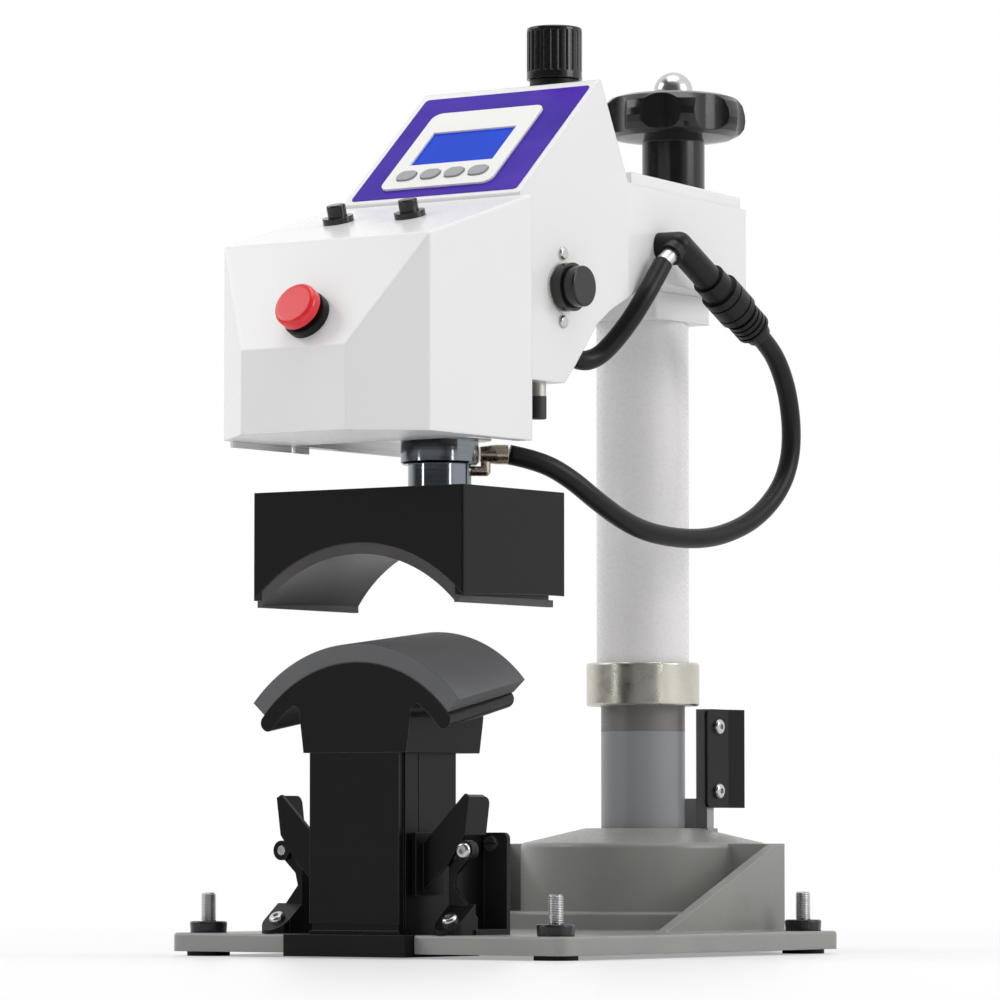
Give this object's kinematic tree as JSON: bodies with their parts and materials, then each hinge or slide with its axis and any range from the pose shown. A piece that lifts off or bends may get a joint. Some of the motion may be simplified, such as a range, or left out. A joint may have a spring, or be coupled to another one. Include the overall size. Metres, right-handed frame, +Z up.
{
  "type": "cap heat press",
  "caption": "Pneumatic cap heat press: arched heated platen over a curved pad, on a swing arm with a control panel, height handwheel and column base.",
  "frame": {"origin": "middle of the object's box at bench level, under the four feet", "axes": "+Z up, -Y towards the operator, +X to the operator's right"},
  "size_m": [0.314, 0.5059, 0.618],
  "materials": {
    "aluminium": "machined",
    "base_paint": "satin",
    "bezel": "satin",
    "black_coat": "satin",
    "black_plastic": "gloss",
    "black_steel": "black oxide",
    "board": "satin",
    "bronze": "machined",
    "column_paint": "satin",
    "dark_rod": "polished",
    "display": "gloss",
    "grey_key": "satin",
    "matte_black": "matt",
    "overlay": "satin",
    "platen": "black coated",
    "red_plastic": "gloss",
    "rubber": "matt",
    "shoe": "non-stick coating",
    "silicone": "matt",
    "steel": "satin",
    "white_paint": "gloss",
    "zinc": "zinc plated"
  },
  "bodies": {
    "base": {"base_casting": "base_paint", "foot_pads": "rubber", "foot_studs": "steel", "foot_caps": "matte_black", "seat_block": "black_coat", "lever_brackets": "black_coat", "pivot_screws": "steel", "bracket_screws": "steel", "slotted_screws": "black_steel", "column_post": "column_paint", "column_bushes": "black_steel", "stop_bar": "base_paint", "stop_plate": "black_coat", "stop_screws": "steel"},
    "tooling": {"pedestal_post": "black_coat", "cradle": "platen", "silicone_pad": "silicone"},
    "lever_r": {"lever_right": "black_coat"},
    "lever_l": {"lever_left": "black_coat"},
    "swing": {"outer_tube": "white_paint", "foot_ring": "zinc", "lift_bracket": "steel", "lift_nut": "bronze"},
    "head": {"arm_shell": "white_paint", "arm_top_plate": "white_paint", "sleeve_block": "white_paint", "head_cover": "white_paint", "cover_bosses": "aluminium", "start_rings": "black_plastic", "stop_collar": "matte_black", "panel_overlay": "overlay", "display_bezel": "bezel", "display_glass": "display", "controller_board": "board", "regulator_body": "matte_black", "side_collar": "black_plastic", "side_screws": "steel", "silencer": "black_steel", "air_cylinder": "aluminium", "heater_lead": "rubber", "inline_plug": "rubber", "elbow_sleeve": "rubber", "steel_tube": "steel", "supply_lead": "rubber"},
    "wheel": {"handwheel": "black_plastic", "ball_nut": "steel", "height_screw": "steel"},
    "press": {"press_rod": "dark_rod", "platen_body": "platen", "heater_shoe": "shoe", "lead_fitting": "zinc"},
    "stop_button": {"stop_cap": "red_plastic"},
    "start_r": {"start_cap_right": "black_plastic"},
    "start_l": {"start_cap_left": "black_plastic"},
    "key_a": {"key_1": "grey_key"},
    "key_b": {"key_2": "grey_key"},
    "key_c": {"key_3": "grey_key"},
    "key_d": {"key_4": "grey_key"},
    "regulator": {"regulator_knob": "black_plastic"},
    "side_button": {"side_cap": "black_plastic"}
  },
  "joints": [
    {"name": "head_swing", "type": "hinge", "parent": "base", "child": "swing", "pos_m": [-0.007, 0.15495, 0.167], "axis": [0, 0, 1], "range_deg": [0, 95]},
    {"name": "head_height", "type": "slide", "parent": "swing", "child": "head", "axis": [0, 0, 1], "range_m": [0, 0.014]},
    {"name": "handwheel_turn", "type": "hinge", "parent": "head", "child": "wheel", "pos_m": [-0.007, 0.19395, 0.5755], "axis": [0, 0, 1], "range_deg": [0, 1260]},
    {"name": "press_stroke", "type": "slide", "parent": "head", "child": "press", "axis": [0, 0, 1], "range_m": [-0.053, 0], "stiffness_N_per_m": 500, "springref_m": 0.12, "deforming": ["heater_lead"]},
    {"name": "tooling_lift", "type": "slide", "parent": "base", "child": "tooling", "axis": [0, 0, 1], "range_m": [0, 0.04]},
    {"name": "lever_right_turn", "type": "hinge", "parent": "base", "child": "lever_r", "pos_m": [0.066, -0.15705, 0.0685], "axis": [0, -1, 0], "range_deg": [0, 25]},
    {"name": "lever_left_turn", "type": "hinge", "parent": "base", "child": "lever_l", "pos_m": [-0.08, -0.15705, 0.0685], "axis": [0, 1, 0], "range_deg": [0, 25]},
    {"name": "stop_press", "type": "slide", "parent": "head", "child": "stop_button", "axis": [0, 0.8996, -0.4366], "range_m": [0, 0.004], "stiffness_N_per_m": 800, "springref_m": -0.002},
    {"name": "start_right_press", "type": "slide", "parent": "head", "child": "start_r", "axis": [0, 0.2919, -0.9564], "range_m": [0, 0.003], "stiffness_N_per_m": 600, "springref_m": -0.0015},
    {"name": "start_left_press", "type": "slide", "parent": "head", "child": "start_l", "axis": [0, 0.2919, -0.9564], "range_m": [0, 0.003], "stiffness_N_per_m": 600, "springref_m": -0.0015},
    {"name": "key_1_press", "type": "slide", "parent": "head", "child": "key_a", "axis": [0, 0.6656, -0.7463], "range_m": [0, 0.0008], "stiffness_N_per_m": 500, "springref_m": -0.0004},
    {"name": "key_2_press", "type": "slide", "parent": "head", "child": "key_b", "axis": [0, 0.6656, -0.7463], "range_m": [0, 0.0008], "stiffness_N_per_m": 500, "springref_m": -0.0004},
    {"name": "key_3_press", "type": "slide", "parent": "head", "child": "key_c", "axis": [0, 0.6656, -0.7463], "range_m": [0, 0.0008], "stiffness_N_per_m": 500, "springref_m": -0.0004},
    {"name": "key_4_press", "type": "slide", "parent": "head", "child": "key_d", "axis": [0, 0.6656, -0.7463], "range_m": [0, 0.0008], "stiffness_N_per_m": 500, "springref_m": -0.0004},
    {"name": "regulator_turn", "type": "hinge", "parent": "head", "child": "regulator", "pos_m": [0.013, 0.01995, 0.6], "axis": [0, 0, 1], "range_deg": [-720, 720]},
    {"name": "side_press", "type": "slide", "parent": "head", "child": "side_button", "axis": [-1, 0, 0], "range_m": [0, 0.0035], "stiffness_N_per_m": 600, "springref_m": -0.00175}
  ],
  "couplings": [
    {"joint": "handwheel_turn", "follows": "head_height", "rad_per_m": 1570.8}
  ]
}
